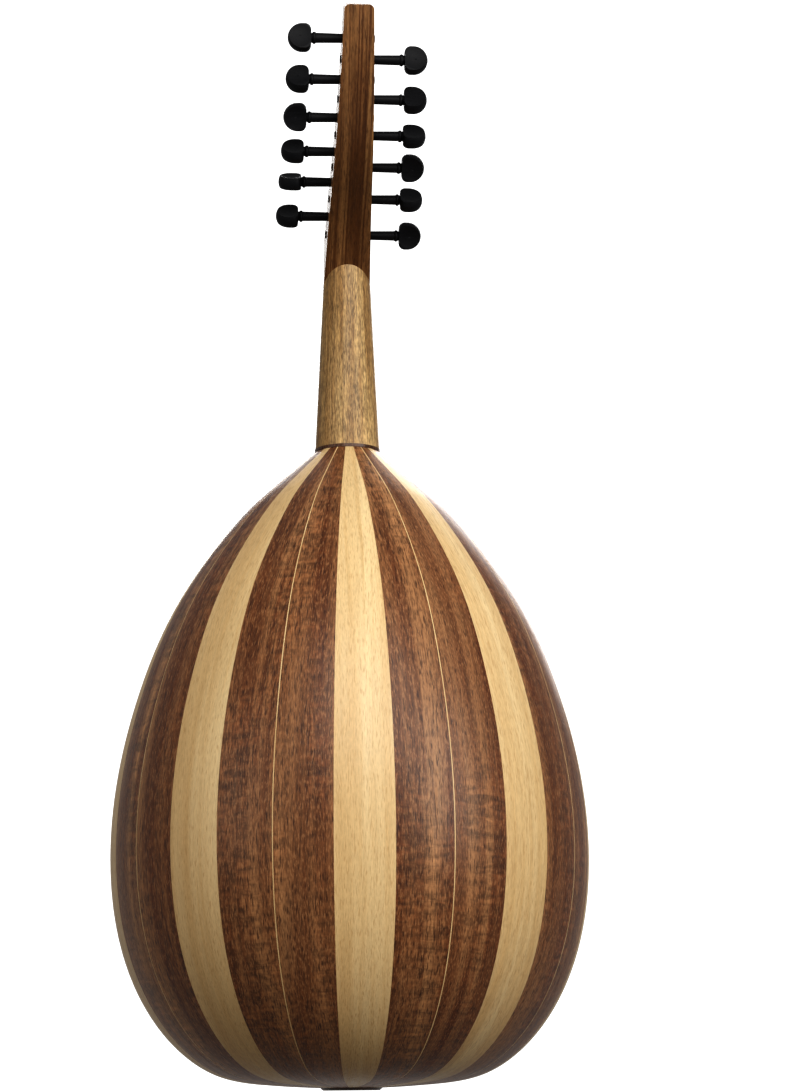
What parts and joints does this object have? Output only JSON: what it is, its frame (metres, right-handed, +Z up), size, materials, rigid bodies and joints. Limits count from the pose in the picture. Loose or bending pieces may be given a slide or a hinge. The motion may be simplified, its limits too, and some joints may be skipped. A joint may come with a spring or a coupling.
{
  "type": "oud",
  "caption": "Short-necked lute with a ribbed round back, flat pierced soundboard, bent-back pegbox and turning friction pegs.",
  "frame": {"origin": "middle of the nut's front edge, on the flat face of the neck, which is where a wall hanger's fork holds the instrument", "axes": "+Z up the neck from the bowl to the pegbox, soundboard facing -Y, bowl swelling towards +Y, +X to the right as the player's audience sees it"},
  "size_m": [0.3624, 0.1972, 0.7938],
  "materials": {
    "pale_stave_wood": "satin varnish",
    "dark_stave_wood": "satin varnish",
    "purfling_wood": "satin varnish",
    "inner_softwood": "bare",
    "soundboard_spruce": "matt oil",
    "dark_trim_wood": "satin varnish",
    "rosette_wood": "matt",
    "bridge_wood": "satin",
    "neck_wood": "satin varnish",
    "pegbox_wood": "satin varnish",
    "ebony": "satin",
    "peg_ebony": "satin",
    "bone": "polished bone",
    "plain_string": "clear nylon",
    "wound_string": "silver-plated winding"
  },
  "bodies": {
    "root": {"stave_01": "pale_stave_wood", "stave_02": "dark_stave_wood", "stave_03": "dark_stave_wood", "stave_04": "pale_stave_wood", "stave_05": "dark_stave_wood", "stave_06": "dark_stave_wood", "stave_07": "pale_stave_wood", "stave_08": "dark_stave_wood", "stave_09": "dark_stave_wood", "stave_10": "pale_stave_wood", "stave_11": "dark_stave_wood", "stave_12": "dark_stave_wood", "stave_13": "pale_stave_wood", "stave_purfling": "purfling_wood", "neck_block": "inner_softwood", "tail_block": "inner_softwood", "rim_linings": "inner_softwood", "soundboard_braces": "inner_softwood", "soundboard": "soundboard_spruce", "soundboard_binding": "dark_trim_wood", "rosette_large": "rosette_wood", "rosettes_small": "rosette_wood", "bridge": "bridge_wood", "pickguard": "dark_trim_wood", "tail_cap": "dark_trim_wood", "neck_band": "dark_trim_wood", "neck": "neck_wood", "fingerboard": "ebony", "nut": "bone", "pegbox_back": "pegbox_wood", "pegbox_cheek_left": "pegbox_wood", "pegbox_cheek_right": "pegbox_wood", "pegbox_foot": "pegbox_wood", "pegbox_tip": "pegbox_wood", "strings_wound": "wound_string", "strings_plain": "plain_string"},
    "peg_01_body": {"peg_01": "peg_ebony", "winding_01": "wound_string"},
    "peg_02_body": {"peg_02": "peg_ebony", "winding_02": "plain_string"},
    "peg_03_body": {"peg_03": "peg_ebony", "winding_03": "wound_string"},
    "peg_04_body": {"peg_04": "peg_ebony", "winding_04": "plain_string"},
    "peg_05_body": {"peg_05": "peg_ebony", "winding_05": "wound_string"},
    "peg_06_body": {"peg_06": "peg_ebony", "winding_06": "plain_string"},
    "peg_07_body": {"peg_07": "peg_ebony", "winding_07": "wound_string"},
    "peg_08_body": {"peg_08": "peg_ebony", "winding_08": "plain_string"},
    "peg_09_body": {"peg_09": "peg_ebony", "winding_09": "wound_string"},
    "peg_10_body": {"peg_10": "peg_ebony", "winding_10": "plain_string"},
    "peg_11_body": {"peg_11": "peg_ebony", "winding_11": "wound_string"},
    "peg_12_body": {"peg_12": "peg_ebony", "winding_12": "plain_string"}
  },
  "joints": [
    {"name": "peg_01_turn", "type": "hinge", "parent": "root", "child": "peg_01_body", "pos_m": [0, 0.02229, 0.00179], "axis": [-1, 0, 0], "continuous": true},
    {"name": "peg_02_turn", "type": "hinge", "parent": "root", "child": "peg_02_body", "pos_m": [0, 0.03671, 0.01212], "axis": [1, 0, 0], "continuous": true},
    {"name": "peg_03_turn", "type": "hinge", "parent": "root", "child": "peg_03_body", "pos_m": [0, 0.05175, 0.02146], "axis": [-1, 0, 0], "continuous": true},
    {"name": "peg_04_turn", "type": "hinge", "parent": "root", "child": "peg_04_body", "pos_m": [0, 0.06734, 0.02979], "axis": [1, 0, 0], "continuous": true},
    {"name": "peg_05_turn", "type": "hinge", "parent": "root", "child": "peg_05_body", "pos_m": [0, 0.08244, 0.03689], "axis": [-1, 0, 0], "continuous": true},
    {"name": "peg_06_turn", "type": "hinge", "parent": "root", "child": "peg_06_body", "pos_m": [0, 0.09624, 0.04432], "axis": [1, 0, 0], "continuous": true},
    {"name": "peg_07_turn", "type": "hinge", "parent": "root", "child": "peg_07_body", "pos_m": [0, 0.10949, 0.05278], "axis": [-1, 0, 0], "continuous": true},
    {"name": "peg_08_turn", "type": "hinge", "parent": "root", "child": "peg_08_body", "pos_m": [0, 0.12209, 0.06223], "axis": [1, 0, 0], "continuous": true},
    {"name": "peg_09_turn", "type": "hinge", "parent": "root", "child": "peg_09_body", "pos_m": [0, 0.13398, 0.07263], "axis": [-1, 0, 0], "continuous": true},
    {"name": "peg_10_turn", "type": "hinge", "parent": "root", "child": "peg_10_body", "pos_m": [0, 0.14509, 0.08391], "axis": [1, 0, 0], "continuous": true},
    {"name": "peg_11_turn", "type": "hinge", "parent": "root", "child": "peg_11_body", "pos_m": [0, 0.15535, 0.09602], "axis": [-1, 0, 0], "continuous": true},
    {"name": "peg_12_turn", "type": "hinge", "parent": "root", "child": "peg_12_body", "pos_m": [0, 0.1647, 0.10889], "axis": [1, 0, 0], "continuous": true}
  ]
}
